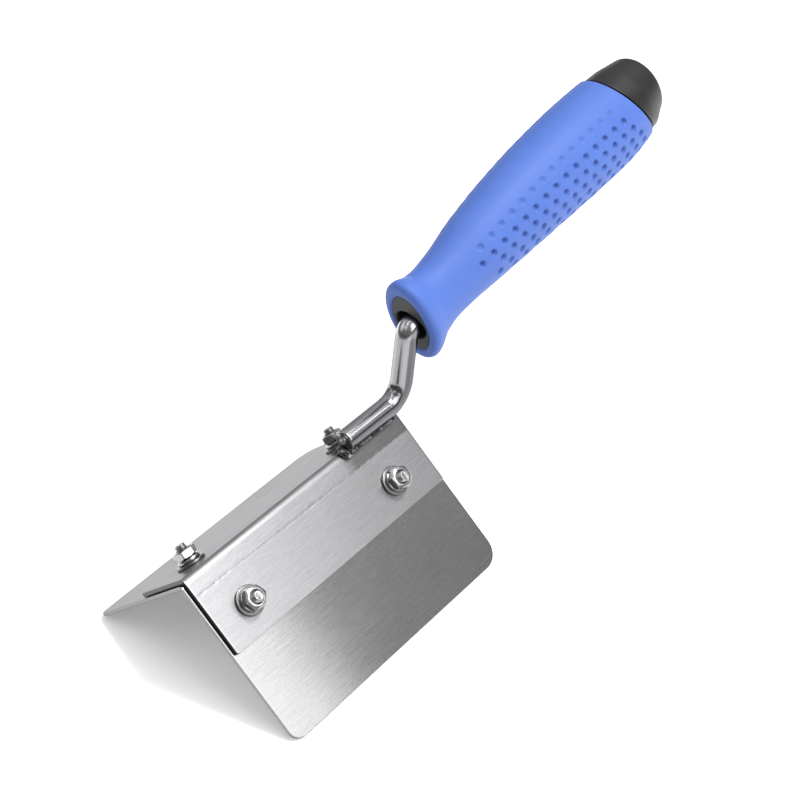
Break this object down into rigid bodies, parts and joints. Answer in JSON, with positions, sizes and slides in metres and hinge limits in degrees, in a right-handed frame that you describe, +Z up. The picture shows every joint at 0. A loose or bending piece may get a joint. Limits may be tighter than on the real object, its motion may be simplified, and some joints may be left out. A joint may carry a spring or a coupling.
{
  "type": "corner trowel",
  "caption": "Plastering corner trowel: bent steel blade bolted to a backing angle, with a welded cranked round tang and an oval soft-grip handle.",
  "frame": {"origin": "on the surface the tool stands on, under the middle of its bounding box", "axes": "+X along the ridge of the blade, from its front end towards the handle; +Z up; the two legs of the blade lie at -Y (near) and +Y (far)"},
  "size_m": [0.2388, 0.0862, 0.1113],
  "materials": {
    "blade_steel": "thin stainless sheet, with fine scratches along the ridge",
    "backing_steel": "cold-rolled sheet with a satin, slightly grainy mill finish",
    "rod_steel": "drawn round rod, smooth and bright, slightly satin",
    "weld_steel": "dark, rippled weld metal",
    "zinc_steel": "bright zinc-plated fasteners",
    "blue_rubber": "soft satin blue grip with small round dimples",
    "black_plastic": "satin moulded black plastic"
  },
  "bodies": {
    "root": {"blade": "blade_steel", "backing_angle": "backing_steel", "tang": "rod_steel", "weld_near": "weld_steel", "weld_far": "weld_steel", "weld_front": "weld_steel", "stud_near_front": "zinc_steel", "flat_washer_near_front": "zinc_steel", "spring_washer_near_front": "zinc_steel", "nut_near_front": "zinc_steel", "stud_near_rear": "zinc_steel", "flat_washer_near_rear": "zinc_steel", "spring_washer_near_rear": "zinc_steel", "nut_near_rear": "zinc_steel", "stud_far_front": "zinc_steel", "flat_washer_far_front": "zinc_steel", "spring_washer_far_front": "zinc_steel", "nut_far_front": "zinc_steel", "stud_far_rear": "zinc_steel", "flat_washer_far_rear": "zinc_steel", "spring_washer_far_rear": "zinc_steel", "nut_far_rear": "zinc_steel", "handle_core": "black_plastic", "soft_grip": "blue_rubber", "end_cap": "black_plastic"}
  },
  "joints": []
}
